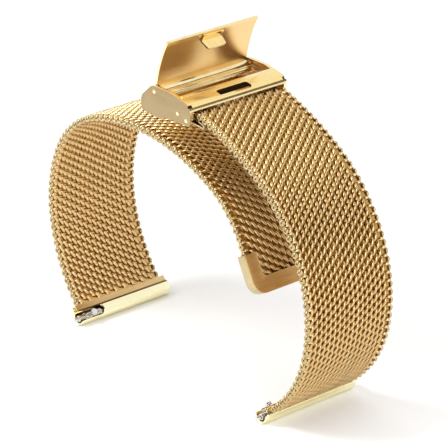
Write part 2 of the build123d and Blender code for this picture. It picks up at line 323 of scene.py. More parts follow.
@dataclass(frozen=True)
class WornSurface:
    """What every metal surface here shares: its grain, its mottles and its fine marks.

    Attributes:
        grain_detail: The detail of the grain's noise.
        mottle_detail: The detail of the mottles' noise.
        mottle_roughness: How much of the mottles' noise is fine.
        mottle_share: The weight of the mottles between the light and the dark colour.
        grain_share: The weight of the grain there.
        dark_below: The weighted noise that gives the dark colour.
        light_above: The weighted noise that gives the light colour.
        mark_strength: How strongly the fine marks show.
    """

    grain_detail: float = 3.0
    mottle_detail: float = 4.0
    mottle_roughness: float = 0.6
    mottle_share: float = 0.6
    grain_share: float = 0.4
    dark_below: float = 0.36
    light_above: float = 0.64
    mark_strength: float = 0.35

    def group(self) -> bpy.types.NodeTree:
        """Build the node group that gives every metal its grain, mottle and fine marks.

        Returns:
            A shader node group. Inputs: Light, Dark, Grain Scale, Mottle Scale, Roughness and
            Roughness Spread. Outputs: Color, Roughness and Height.
        """
        tree = bpy.data.node_groups.new("worn_metal", "ShaderNodeTree")
        self.add_sockets(tree)
        nodes, links = tree.nodes, tree.links
        entry = nodes.new("NodeGroupInput")
        leave = nodes.new("NodeGroupOutput")
        coords = nodes.new("ShaderNodeTexCoord")
        stretch = nodes.new("ShaderNodeVectorMath")
        stretch.operation = "MULTIPLY"
        links.new(coords.outputs["Object"], stretch.inputs[0])
        links.new(entry.outputs["Grain Scale"], stretch.inputs[1])
        grain = nodes.new("ShaderNodeTexNoise")
        grain.inputs["Scale"].default_value = 1.0
        grain.inputs["Detail"].default_value = self.grain_detail
        links.new(stretch.outputs["Vector"], grain.inputs["Vector"])
        mottle = nodes.new("ShaderNodeTexNoise")
        mottle.inputs["Detail"].default_value = self.mottle_detail
        mottle.inputs["Roughness"].default_value = self.mottle_roughness
        links.new(coords.outputs["Object"], mottle.inputs["Vector"])
        links.new(entry.outputs["Mottle Scale"], mottle.inputs["Scale"])
        fine = nodes.new("ShaderNodeMath")
        fine.operation = "MULTIPLY"
        fine.inputs[1].default_value = self.grain_share
        links.new(grain.outputs["Fac"], fine.inputs[0])
        both = nodes.new("ShaderNodeMath")
        both.operation = "MULTIPLY_ADD"
        both.inputs[1].default_value = self.mottle_share
        links.new(mottle.outputs["Fac"], both.inputs[0])
        links.new(fine.outputs["Value"], both.inputs[2])
        spread = nodes.new("ShaderNodeMapRange")
        spread.inputs["From Min"].default_value = self.dark_below
        spread.inputs["From Max"].default_value = self.light_above
        links.new(both.outputs["Value"], spread.inputs["Value"])
        tint = nodes.new("ShaderNodeMix")
        tint.data_type = "RGBA"
        links.new(spread.outputs["Result"], tint.inputs["Factor"])
        links.new(entry.outputs["Dark"], tint.inputs["A"])
        links.new(entry.outputs["Light"], tint.inputs["B"])
        rough = nodes.new("ShaderNodeMath")
        rough.operation = "MULTIPLY_ADD"
        links.new(grain.outputs["Fac"], rough.inputs[0])
        links.new(entry.outputs["Roughness Spread"], rough.inputs[1])
        links.new(entry.outputs["Roughness"], rough.inputs[2])
        links.new(tint.outputs["Result"], leave.inputs["Color"])
        links.new(rough.outputs["Value"], leave.inputs["Roughness"])
        links.new(grain.outputs["Fac"], leave.inputs["Height"])
        return tree

    def add_sockets(self, tree: bpy.types.NodeTree) -> None:
        """Give the group its named inputs and outputs.

        Args:
            tree: The empty node group.
        """
        for name, direction, kind in (
            ("Light", "INPUT", "NodeSocketColor"),
            ("Dark", "INPUT", "NodeSocketColor"),
            ("Grain Scale", "INPUT", "NodeSocketVector"),
            ("Mottle Scale", "INPUT", "NodeSocketFloat"),
            ("Roughness", "INPUT", "NodeSocketFloat"),
            ("Roughness Spread", "INPUT", "NodeSocketFloat"),
            ("Color", "OUTPUT", "NodeSocketColor"),
            ("Roughness", "OUTPUT", "NodeSocketFloat"),
            ("Height", "OUTPUT", "NodeSocketFloat"),
        ):
            tree.interface.new_socket(name=name, in_out=direction, socket_type=kind)


class MetalShop:
    """Makes one material for each finish and keeps it for the pieces that share it."""

    def __init__(self) -> None:
        """Build the shared node group."""
        self.surface = WornSurface()
        self.group = self.surface.group()
        self.made: dict[str, bpy.types.Material] = {}

    def material(self, finish: MetalFinish) -> bpy.types.Material:
        """Return the material of a finish, built on first use.

        Args:
            finish: The metal finish.

        Returns:
            A node material.
        """
        if finish.name in self.made:
            return self.made[finish.name]
        material = bpy.data.materials.new(finish.name)
        material.use_nodes = True
        nodes, links = material.node_tree.nodes, material.node_tree.links
        shader = nodes["Principled BSDF"]
        worn = nodes.new("ShaderNodeGroup")
        worn.node_tree = self.group
        worn.inputs["Light"].default_value = (*finish.light, 1.0)
        worn.inputs["Dark"].default_value = (*finish.dark, 1.0)
        worn.inputs["Grain Scale"].default_value = [1.0 / (length * MM) for length in finish.grain]
        worn.inputs["Mottle Scale"].default_value = 1.0 / (finish.mottle_size * MM)
        worn.inputs["Roughness"].default_value = finish.roughness
        worn.inputs["Roughness Spread"].default_value = finish.roughness_spread
        bump = nodes.new("ShaderNodeBump")
        bump.inputs["Strength"].default_value = self.surface.mark_strength
        bump.inputs["Distance"].default_value = finish.mark_depth * MM
        colour = worn.outputs["Color"]
        if finish.painted_depth_shade is not None:
            colour = self.paint_depth_shade(material.node_tree, colour, finish.painted_depth_shade)
        links.new(colour, shader.inputs["Base Color"])
        links.new(worn.outputs["Roughness"], shader.inputs["Roughness"])
        links.new(worn.outputs["Height"], bump.inputs["Height"])
        links.new(bump.outputs["Normal"], shader.inputs["Normal"])
        shader.inputs["Metallic"].default_value = 1.0
        self.made[finish.name] = material
        return material

    def paint_depth_shade(
        self, tree: bpy.types.NodeTree, colour: bpy.types.NodeSocket, painted_depth_shade: Colour
    ) -> bpy.types.NodeSocket:
        """Mix painted shade, a darker colour, into wire where it lies in the depth of the weave.

        Args:
            tree: The material's nodes and links.
            colour: The socket that gives the worn metal's colour.
            painted_depth_shade: The colour of the painted shade.

        Returns:
            The socket that gives the mixed colour.
        """
        depth = tree.nodes.new("ShaderNodeAttribute")
        depth.attribute_name = PROUD
        mix = tree.nodes.new("ShaderNodeMix")
        mix.data_type = "RGBA"
        mix.inputs["A"].default_value = (*painted_depth_shade, 1.0)
        tree.links.new(depth.outputs["Fac"], mix.inputs["Factor"])
        tree.links.new(colour, mix.inputs["B"])
        return mix.outputs["Result"]

    def dress(self, piece: bpy.types.Object, finish: MetalFinish) -> None:
        """Give a piece one finish all over.

        Args:
            piece: A mesh object.
            finish: The metal finish.
        """
        piece.data.materials.clear()
        piece.data.materials.append(self.material(finish))


# Bench tools


def deselect() -> None:
    """Deselect every object."""
    bpy.ops.object.select_all(action="DESELECT")


def take(piece: bpy.types.Object) -> bpy.types.Object:
    """Select one object alone and make it active.

    Args:
        piece: The object.

    Returns:
        The same object.
    """
    deselect()
    piece.select_set(True)
    bpy.context.view_layer.objects.active = piece
    return piece


def settle(piece: bpy.types.Object) -> bpy.types.Object:
    """Put an object's place, turn and size into its mesh.

    Args:
        piece: The object.

    Returns:
        The same object, with its origin at the frame's origin.
    """
    take(piece)
    bpy.ops.object.transform_apply(location=True, rotation=True, scale=True)
    return piece


def apply_modifier(piece: bpy.types.Object, kind: str, **values: object) -> None:
    """Add one modifier, set it and apply it.

    Args:
        piece: The object.
        kind: The modifier's type.
        **values: The modifier's settings.
    """
    take(piece)
    modifier = piece.modifiers.new(kind.lower(), kind)
    for name, value in values.items():
        setattr(modifier, name, value)
    bpy.ops.object.modifier_apply(modifier=modifier.name)


def smooth(piece: bpy.types.Object, crease: float) -> None:
    """Shade a piece smooth, with creases over an angle.

    Args:
        piece: The object.
        crease: The least angle that stays a crease.
    """
    take(piece)
    bpy.ops.object.shade_smooth_by_angle(angle=radians(crease))


def joined(parts: Sequence[bpy.types.Object], name: str) -> bpy.types.Object:
    """Join several meshes into one named piece.

    Args:
        parts: The objects, two at least.
        name: The name of the piece.

    Returns:
        The joined object.
    """
    piece = take(parts[0])
    for part in parts[1:]:
        part.select_set(True)
    bpy.ops.object.join()
    piece.name = name
    piece.data.name = name
    return piece


def copied(master: bpy.types.Object, place: Matrix) -> bpy.types.Object:
    """Copy a master with its own mesh and put it in place.

    Args:
        master: The object to copy.
        place: The copy's place and turn.

    Returns:
        The copy.
    """
    copy = master.copy()
    copy.data = master.data.copy()
    bpy.context.scene.collection.objects.link(copy)
    copy.matrix_world = place
    return copy


def flat_bar(
    name: str, size: Place, edge: float, segments: int, middle: Point = (0.0, 0.0), lean: float = 0.0
) -> bpy.types.Object:
    """Make a flat bar with rounded edges.

    Args:
        name: The object's name.
        size: Its size along X, Y and Z.
        edge: The width of its rounded edges.
        segments: The number of faces over an edge.
        middle: Its middle in the side view.
        lean: How far it leans to the front.

    Returns:
        The bar, with its origin at the frame's origin.
    """
    deselect()
    bpy.ops.mesh.primitive_cube_add(
        size=1.0,
        location=(middle[0] * MM, 0.0, middle[1] * MM),
        rotation=(0.0, radians(lean), 0.0),
        scale=[length * MM for length in size],
    )
    bar = settle(bpy.context.active_object)
    bar.name = name
    apply_modifier(bar, "BEVEL", width=edge * MM, segments=segments)
    return bar


@dataclass(frozen=True)
class Winding:
    """A coil of wire round the Z axis.

    Attributes:
        pitch: The rise of each turn.
        turns: The number of turns.
        half_length: Half the coil's size along X, at the middle of the wire.
        half_height: Half its size along Y, at the middle of the wire.
        wire: The wire's radius.
        hand: The way the coil turns.
        steps: The number of segments in a turn.
        sides: The smoothness of the wire's round.
    """

    pitch: float
    turns: int
    half_length: float
    half_height: float
    wire: float
    hand: Hand = Hand.RIGHT
    steps: int = 12
    sides: int = 1

    def wind(self, name: str) -> bpy.types.Object:
        """Wind the wire into its coil, centred on the origin.

        Args:
            name: The object's name.

        Returns:
            A closed tube mesh.
        """
        line = self.turned_point(name)
        bpy.ops.object.mode_set(mode="EDIT")
        bpy.ops.mesh.select_all(action="SELECT")
        flatten = self.half_height / self.half_length
        bpy.ops.transform.resize(value=(1.0, flatten, self.hand.value), center_override=(0.0, 0.0, 0.0))
        bpy.ops.object.mode_set(mode="OBJECT")
        take(line)
        bpy.ops.object.convert(target="CURVE")
        curve = bpy.context.active_object.data
        curve.bevel_depth = self.wire * MM
        curve.bevel_resolution = self.sides
        curve.use_fill_caps = True
        bpy.ops.object.convert(target="MESH")
        bpy.ops.object.shade_smooth()
        return bpy.context.active_object

    def turned_point(self, name: str) -> bpy.types.Object:
        """Merge a small plane into a point and screw it into a round coil line.

        Args:
            name: The object's name.

        Returns:
            A mesh of edges alone.
        """
        rise = self.pitch * self.turns * MM
        deselect()
        bpy.ops.mesh.primitive_plane_add(size=MM, location=(self.half_length * MM, 0.0, -rise / 2))
        line = bpy.context.active_object
        line.name = name
        bpy.ops.object.mode_set(mode="EDIT")
        bpy.ops.mesh.select_all(action="SELECT")
        bpy.ops.mesh.merge(type="CENTER")
        bpy.ops.object.mode_set(mode="OBJECT")
        settle(line)
        apply_modifier(
            line,
            "SCREW",
            axis="Z",
            angle=2 * pi,
            screw_offset=self.pitch * MM,
            iterations=self.turns,
            steps=self.steps,
            render_steps=self.steps,
        )
        return line


def mark_proud(piece: bpy.types.Object, low: float, high: float) -> None:
    """Store on each point how far it stands out of the middle of the mesh, from 0 to 1, as the mask of the
    painted shade in the depth of the weave.

    Args:
        piece: A mesh whose Y is the way out of the weave.
        low: The height that counts as 0.
        high: The height that counts as 1.
    """
    proud = piece.data.attributes.new(PROUD, "FLOAT", "POINT")
    for point, value in zip(piece.data.vertices, proud.data):
        value.value = min(max((abs(point.co.y) / MM - low) / (high - low), 0.0), 1.0)


# The two strands of mesh


@dataclass(frozen=True)
class MeshCourse:
    """The row centres of one strand in its side view.

    Attributes:
        start: The point that the first row is stepped from.
        heading: The direction of the first step.
        first_step: The length of the first step.
        row_counts: The number of rows in each stiff length.
        bends: How far each stiff length turns down in all.
        straight_start: The number of rows at the start that don't turn.
        straight_end: The number of rows at the end that don't turn.
        row_pitch: The distance from row to row.
    """

    start: Point
    heading: float
    first_step: float
    row_counts: tuple[int, ...]
    bends: tuple[float, ...]
    straight_start: int = 1
    straight_end: int = 0
    row_pitch: float = 1.5

    def lengths(self) -> list[list[Point]]:
        """Step along the strand, turning before each row.

        Returns:
            One list of row centres for each stiff length.
        """
        heading, (x, z) = self.heading, self.start
        course: list[list[Point]] = []
        for number, (count, bend) in enumerate(zip(self.row_counts, self.bends)):
            first_turn = self.straight_start if number == 0 else 0
            end_turn = count - self.straight_end if number == len(self.row_counts) - 1 else count
            rows: list[Point] = []
            for row in range(count):
                if first_turn <= row < end_turn:
                    heading -= bend / (end_turn - first_turn)
                step = self.first_step if number == 0 and row == 0 else self.row_pitch
                x += step * cos(radians(heading))
                z += step * sin(radians(heading))
                rows.append((x, z))
            course.append(rows)
        return course


@dataclass(frozen=True)
class Strand:
    """One strand of the band, ready to be woven.

    Attributes:
        name: The start of the names of its pieces and nodes.
        course: The row centres of each stiff length.
        tube: The centre of its end tube in the side view.
        from_tube: Whether it begins at its tube. If not, it begins under the clasp and ends at its tube.
        lead: The point before its first row.
        hand: The way its coils turn.
        finish: The finish of its wire; the long strand's is a paler copy with painted light.
    """

    name: str
    course: list[list[Point]]
    tube: Point
    from_tube: bool
    lead: Point
    hand: Hand
    finish: MetalFinish

    def rows(self) -> list[Point]:
        """Return the row centres of the whole strand."""
        return [row for length in self.course for row in length]

    def heading(self, index: int) -> float:
        """Find the strand's direction at a row from the points on both sides of it.

        Args:
            index: The row's number in the whole strand.

        Returns:
            The direction in the side view, in radians.
        """
        rows = self.rows()
        row = rows[index]
        before = rows[index - 1] if index > 0 else self.lead
        if index + 1 < len(rows):
            after = rows[index + 1]
        elif self.from_tube:
            after = (2 * row[0] - before[0], 2 * row[1] - before[1])
        else:
            after = self.tube
        return atan2(after[1] - before[1], after[0] - before[0])

    def tube_length(self) -> int:
        """Return the number of the stiff length that ends in the tube."""
        return 0 if self.from_tube else len(self.course) - 1

    def tube_row(self) -> Point:
        """Return the centre of the row next to the tube."""
        return self.course[0][0] if self.from_tube else self.course[-1][-1]


def row_place(middle: Point, heading: float, y: float = 0.0) -> Matrix:
    """Return the place of a row's coil: X along the strand, Y outwards and Z across the band.

    Args:
        middle: The centre of the row in the side view.
        heading: The strand's direction there, in radians.
        y: The place across the band.

    Returns:
        A place and turn without any change of size.
    """
    along = Vector((cos(heading), 0.0, sin(heading)))
    out = Vector((-sin(heading), 0.0, cos(heading)))
    across = along.cross(out)
    place = Matrix((along, out, across)).transposed().to_4x4()
    place.translation = Vector((middle[0], y, middle[1])) * MM
    return place


@dataclass(frozen=True)
class HiddenRow:
    """A coil that runs in under the clasp, before the first row.

    Attributes:
        kind: The kind of coil.
        back: Its distance behind the first row.
        drop: Its distance below the line of the strand.
        thin: Its share of a coil's full thickness.
    """

    kind: Row
    back: float
    drop: float
    thin: float


@dataclass
class WovenMesh:
    """The linked wire coils of both strands, with the welded rings along their edges.

    Attributes:
        shop: The maker of materials.
        width: The width of the mesh.
        turn_pitch: The distance from turn to turn across the band.
        turns: The number of turns in an even coil. An odd one has a turn less.
        half_length: Half a coil's size along the strand, at the middle of the wire.
        half_height: Half its size through the mesh, at the middle of the wire.
        wire: The wire's radius.
        painted_shade_below: The height over the middle of the mesh under which wire gets the full painted
            shade.
        bead_ring: The radius of an edge ring, at the middle of its wire.
        bead_wire: The radius of its wire.
        bead_core: The radius of the disc in an edge ring.
        bead_core_share: The disc's thickness as a share of its width.
        weld_size: Half the size of a weld along, out of and across the strand.
        weld_proud: The heights between which a weld's colour changes from painted shade to the metal's own.
        weld_inset: A weld's distance from the edge of the mesh.
        strip_size: The size of a strip of inner loops along the strand and through it.
        strip_inset: How much narrower than the mesh it is.
        strip_edge: The width of its bevelled edges.
        tab_size: The size of the flattened mesh end in a tube, along the strand and through it.
        tab_inset: How much narrower than the mesh it is.
        tab_edge: The width of its rounded edges.
        tab_reach: The distance of its middle from the tube's axis.
        first_thin: The first row's share of a coil's full thickness, next to the clasp.
        hidden_rows: The coils that run in under the clasp.
        coils: The masters of the coils.
        bead: The master of the edge rings.
        weld: The master of the welds.
        strip: The master of the strips of inner loops.
    """

    shop: MetalShop
    width: float = 20.0
    turn_pitch: float = 2.14
    turns: int = 9
    half_length: float = 0.74
    half_height: float = 0.41
    wire: float = 0.34
    painted_shade_below: float = 0.48
    bead_ring: float = 0.42
    bead_wire: float = 0.26
    bead_core: float = 0.4
    bead_core_share: float = 0.4
    weld_size: Place = (0.42, 0.7, 0.62)
    weld_proud: tuple[float, float] = (0.15, 0.6)
    weld_inset: float = 0.75
    strip_size: Point = (0.9, 0.3)
    strip_inset: float = 1.0
    strip_edge: float = 0.08
    tab_size: Point = (1.3, 0.86)
    tab_inset: float = 0.5
    tab_edge: float = 0.12
    tab_reach: float = 1.9
    first_thin: float = 0.8
    hidden_rows: tuple[HiddenRow, ...] = (
        HiddenRow(Row.ODD, back=0.78, drop=0.2, thin=0.72),
        HiddenRow(Row.EVEN, back=1.5, drop=0.32, thin=0.62),
    )
    coils: dict[tuple[Row, Hand], bpy.types.Object] = field(init=False, default_factory=dict)
    bead: bpy.types.Object = field(init=False)
    weld: bpy.types.Object = field(init=False)
    strip: bpy.types.Object = field(init=False)

    def make_masters(self) -> None:
        """Model each shape that the strands repeat once, to be copied."""
        for hand in Hand:
            for kind, turns in ((Row.EVEN, self.turns), (Row.ODD, self.turns - 1)):
                winding = Winding(self.turn_pitch, turns, self.half_length, self.half_height, self.wire, hand)
                coil = winding.wind(f"coil_{kind.value}_{hand.name.lower()}")
                self.dress_wire(coil)
                self.coils[kind, hand] = coil
        self.bead = self.edge_bead()
        self.weld = self.edge_weld()
        self.strip = self.inner_loops()

    def dress_wire(self, piece: bpy.types.Object) -> None:
        """Give a piece the wire's finish, with painted shade in the depth of the mesh.

        Args:
            piece: A mesh round the middle of the strand.
        """
        self.shop.dress(piece, MESH_GOLD)
        mark_proud(piece, self.painted_shade_below, self.half_height + self.wire)

    def edge_bead(self) -> bpy.types.Object:
        """Model the ring at the end of a row, with a dark disc in it as painted shade in its hollow.

        Returns:
            The master.
        """
        deselect()
        bpy.ops.mesh.primitive_torus_add(
            major_radius=self.bead_ring * MM,
            minor_radius=self.bead_wire * MM,
            major_segments=12,
            minor_segments=6,
        )
        ring = bpy.context.active_object
        bpy.ops.object.shade_smooth()
        self.shop.dress(ring, BEAD_GOLD)
        deselect()
        bpy.ops.mesh.primitive_uv_sphere_add(
            segments=10, ring_count=5, radius=self.bead_core * MM, scale=(1.0, 1.0, self.bead_core_share)
        )
        core = settle(bpy.context.active_object)
        bpy.ops.object.shade_smooth()
        self.shop.dress(core, BEAD_HOLLOW_SHADE)
        return joined([ring, core], "edge_bead")

    def edge_weld(self) -> bpy.types.Object:
        """Model the weld between the rings of two rows.

        Returns:
            The master.
        """
        deselect()
        bpy.ops.mesh.primitive_uv_sphere_add(segments=10, ring_count=6, radius=MM, scale=self.weld_size)
        weld = settle(bpy.context.active_object)
        bpy.ops.object.shade_smooth()
        self.shop.dress(weld, MESH_GOLD)
        mark_proud(weld, *self.weld_proud)
        weld.name = "edge_weld"
        return weld

    def inner_loops(self) -> bpy.types.Object:
        """Model the strip that stands for the loops hidden inside a row.

        Returns:
            The master.
        """
        size = (*self.strip_size, self.width - self.strip_inset)
        strip = flat_bar("inner_loops", size, self.strip_edge, segments=1)
        self.dress_wire(strip)
        return strip

    def tab(self, strand: Strand) -> bpy.types.Object:
        """Make the flattened end of the mesh that sits between the lips of a tube.

        Args:
            strand: The strand that ends in the tube.

        Returns:
            A thin plate with rounded edges, in its place.
        """
        tube, row = strand.tube, strand.tube_row()
        heading = atan2(row[1] - tube[1], row[0] - tube[0])
        middle = (tube[0] + self.tab_reach * cos(heading), tube[1] + self.tab_reach * sin(heading))
        size = (*self.tab_size, self.width - self.tab_inset)
        tab = flat_bar("mesh_tab", size, self.tab_edge, segments=2)
        self.dress_wire(tab)
        tab.matrix_world = row_place(middle, heading)
        return settle(tab)

    def coil(
        self, kind: Row, hand: Hand, middle: Point, heading: float, thin: float = 1.0
    ) -> bpy.types.Object:
        """Copy a coil to its row.

        Args:
            kind: The kind of coil.
            hand: The way it turns.
            middle: The centre of the row in the side view.
            heading: The strand's direction there, in radians.
            thin: Its share of a coil's full thickness.

        Returns:
            The copy.
        """
        squeeze = Matrix.Diagonal((1.0, thin, 1.0, 1.0))
        return copied(self.coils[kind, hand], row_place(middle, heading) @ squeeze)

    def both_edges(
        self, master: bpy.types.Object, middle: Point, heading: float, inset: float
    ) -> list[bpy.types.Object]:
        """Copy a ring or a weld to both edges of the mesh.

        Args:
            master: The ring or the weld.
            middle: Its place in the side view.
            heading: The strand's direction there, in radians.
            inset: Its distance from the edge of the mesh.

        Returns:
            The two copies.
        """
        reach = self.width / 2 - inset
        return [copied(master, row_place(middle, heading, side * reach)) for side in (-1, 1)]

    def full_row(self, strand: Strand, index: int) -> list[bpy.types.Object]:
        """Weave an even coil with its edge rings and inner loops.

        Args:
            strand: The strand.
            index: The row's number in the whole strand.

        Returns:
            The parts of the row.
        """
        row, heading = strand.rows()[index], strand.heading(index)
        at_clasp = index == 0 and not strand.from_tube
        parts = [self.coil(Row.EVEN, strand.hand, row, heading, self.first_thin if at_clasp else 1.0)]
        parts.extend(self.both_edges(self.bead, row, heading, self.bead_wire))
        parts.append(copied(self.strip, row_place(row, heading)))
        if at_clasp:
            for hidden in self.hidden_rows:
                parts.extend(self.hidden_row(hidden, strand.hand, row, heading))
        return parts

    def hidden_row(self, hidden: HiddenRow, hand: Hand, row: Point, heading: float) -> list[bpy.types.Object]:
        """Weave a coil that runs in under the clasp.

        Args:
            hidden: The coil's kind and place.
            hand: The way it turns.
            row: The first row's centre in the side view.
            heading: The strand's direction there, in radians.

        Returns:
            The coil and its inner loops.
        """
        middle = (
            row[0] - hidden.back * cos(heading) + hidden.drop * sin(heading),
            row[1] - hidden.back * sin(heading) - hidden.drop * cos(heading),
        )
        return [
            self.coil(hidden.kind, hand, middle, heading, hidden.thin),
            copied(self.strip, row_place(middle, heading)),
        ]

    def linking_row(self, strand: Strand, index: int) -> list[bpy.types.Object]:
        """Weave the odd coil that links a row to the one before it.

        Args:
            strand: The strand.
            index: The row's number in the whole strand.

        Returns:
            The coil, its inner loops and its welds.
        """
        last, row = strand.rows()[index - 1 : index + 1]
        middle = ((row[0] + last[0]) / 2, (row[1] + last[1]) / 2)
        heading = atan2(row[1] - last[1], row[0] - last[0])
        return [
            self.coil(Row.ODD, strand.hand, middle, heading),
            copied(self.strip, row_place(middle, heading)),
            *self.both_edges(self.weld, middle, heading, self.weld_inset),
        ]

    def weave(self, strand: Strand) -> None:
        """Weave one strand, a piece for each stiff length.

        Args:
            strand: The strand.
        """
        index = 0
        for number, rows in enumerate(strand.course):
            parts: list[bpy.types.Object] = []
            for _ in rows:
                parts.extend(self.full_row(strand, index))
                if index > 0:
                    parts.extend(self.linking_row(strand, index))
                index += 1
            if number == strand.tube_length():
                parts.append(self.tab(strand))
            piece = settle(joined(parts, f"{strand.name}_weave_{number + 1}"))
            self.change_wire(piece, strand.finish)
            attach(piece, f"{strand.name}_{number + 1}")
            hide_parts(f"{strand.name}_mesh_{number + 1}")
            LOG.info("%s: %d rows, %d faces", piece.name, len(rows), len(piece.data.polygons))

    def change_wire(self, piece: bpy.types.Object, finish: MetalFinish) -> None:
        """Give the wire of a woven piece its strand's finish.

        Args:
            piece: The woven piece.
            finish: The strand's finish.
        """
        for place in piece.material_slots:
            if place.material is self.shop.material(MESH_GOLD):
                place.material = self.shop.material(finish)

    def build(self) -> None:
        """Model the masters, weave both strands and remove the masters."""
        self.make_masters()
        long_course = MeshCourse(
            LONG_TUBE,
            LONG_HEADING,
            first_step=2.95,
            row_counts=(11, 11, 11, 11, 11, 12),
            bends=(27.9, 36.4, 49.2, 22.9, 22.1, 35.0),
            straight_end=4,
        )
        # The short strand is stepped from a point over the strap pin, square to its first heading.
        short_heading, seat_height = -17.4, 1.5
        lean = radians(short_heading)
        seat = (STRAP_PIN[0] - seat_height * sin(lean), STRAP_PIN[1] + seat_height * cos(lean))
        short_course = MeshCourse(
            seat,
            short_heading,
            first_step=1.6,
            row_counts=(12, 11, 11, 11),
            bends=(14.2, 31.2, 35.3, 40.7),
            straight_start=2,
        )
        # The long strand's wire takes the paler copy, painted light against the shade under the short strand.
        for strand in (
            Strand("long", long_course.lengths(), LONG_TUBE, True, LONG_TUBE, Hand.RIGHT, PAINTED_LIT_MESH_GOLD),
            Strand("short", short_course.lengths(), SHORT_TUBE, False, seat, Hand.LEFT, MESH_GOLD),
        ):
            self.weave(strand)
        for master in (*self.coils.values(), self.bead, self.weld, self.strip):
            bpy.data.objects.remove(master, do_unlink=True)


# Solids with rounded edges


def dressed_copy(
    node: bpy.types.Object, name: str, edge: float, segments: int, sharp: float
) -> bpy.types.Object:
    """Copy a solid's mesh, clean it and round its edges.

    Args:
        node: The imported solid.
        name: The name of the piece.
        edge: The width of the rounded edge.
        segments: The number of faces over an edge.
        sharp: The angle over which an edge is rounded.

    Returns:
        The new piece.
    """
    piece = node.copy()
    piece.data = node.data.copy()
    piece.parent = None
    piece.name = name
    bpy.context.scene.collection.objects.link(piece)
    piece.matrix_world = Matrix.Identity(4)
    take(piece)
    bpy.ops.object.mode_set(mode="EDIT")
    bpy.ops.mesh.select_all(action="SELECT")
    bpy.ops.mesh.remove_doubles(threshold=MERGE_GAP * MM)
    bpy.ops.mesh.dissolve_limited(angle_limit=radians(FLAT_ANGLE))
    bpy.ops.object.mode_set(mode="OBJECT")
    apply_modifier(
        piece,
        "BEVEL",
        width=edge * MM,
        segments=segments,
        limit_method="ANGLE",
        angle_limit=radians(sharp),
        use_clamp_overlap=True,
    )
    smooth(piece, SOLID_CREASE)
    return piece


@dataclass(frozen=True)
class Accent:
    """A second finish on the faces of a part that pass a test, which for some parts is painted shade and for
    others a painted reflection.

    Attributes:
        finish: The metal finish.
        test: What tells such a face from its centre, in millimetres, and its normal.
    """

    finish: MetalFinish
    test: FaceTest

    def dress(self, piece: bpy.types.Object, shop: MetalShop) -> None:
        """Give the faces that pass the test this finish.

        Args:
            piece: The part.
            shop: The maker of materials.
        """
        piece.data.materials.append(shop.material(self.finish))
        index = len(piece.data.materials) - 1
        for face in piece.data.polygons:
            if self.test(face.center / MM, face.normal):
                face.material_index = index


@dataclass(frozen=True)
class BevelledPart:
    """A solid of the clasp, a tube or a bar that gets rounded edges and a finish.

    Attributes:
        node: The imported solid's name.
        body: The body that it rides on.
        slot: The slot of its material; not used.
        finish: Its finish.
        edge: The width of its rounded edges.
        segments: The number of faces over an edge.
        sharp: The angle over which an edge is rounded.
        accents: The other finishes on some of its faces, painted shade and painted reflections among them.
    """

    node: str
    body: str
    slot: str
    finish: MetalFinish
    edge: float
    segments: int = 2
    sharp: float = 40.0
    accents: tuple[Accent, ...] = ()

    def build(self, nodes: dict[str, bpy.types.Object], shop: MetalShop) -> None:
        """Copy the solid, round its edges and give it its finish.

        Args:
            nodes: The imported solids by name.
            shop: The maker of materials.
        """
        piece = dressed_copy(nodes[self.node], self.node + "_dressed", self.edge, self.segments, self.sharp)
        shop.dress(piece, self.finish)
        for accent in self.accents:
            accent.dress(piece, shop)
        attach(piece, self.body)
        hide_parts(self.node)
        LOG.info("%s: %d faces", piece.name, len(piece.data.polygons))


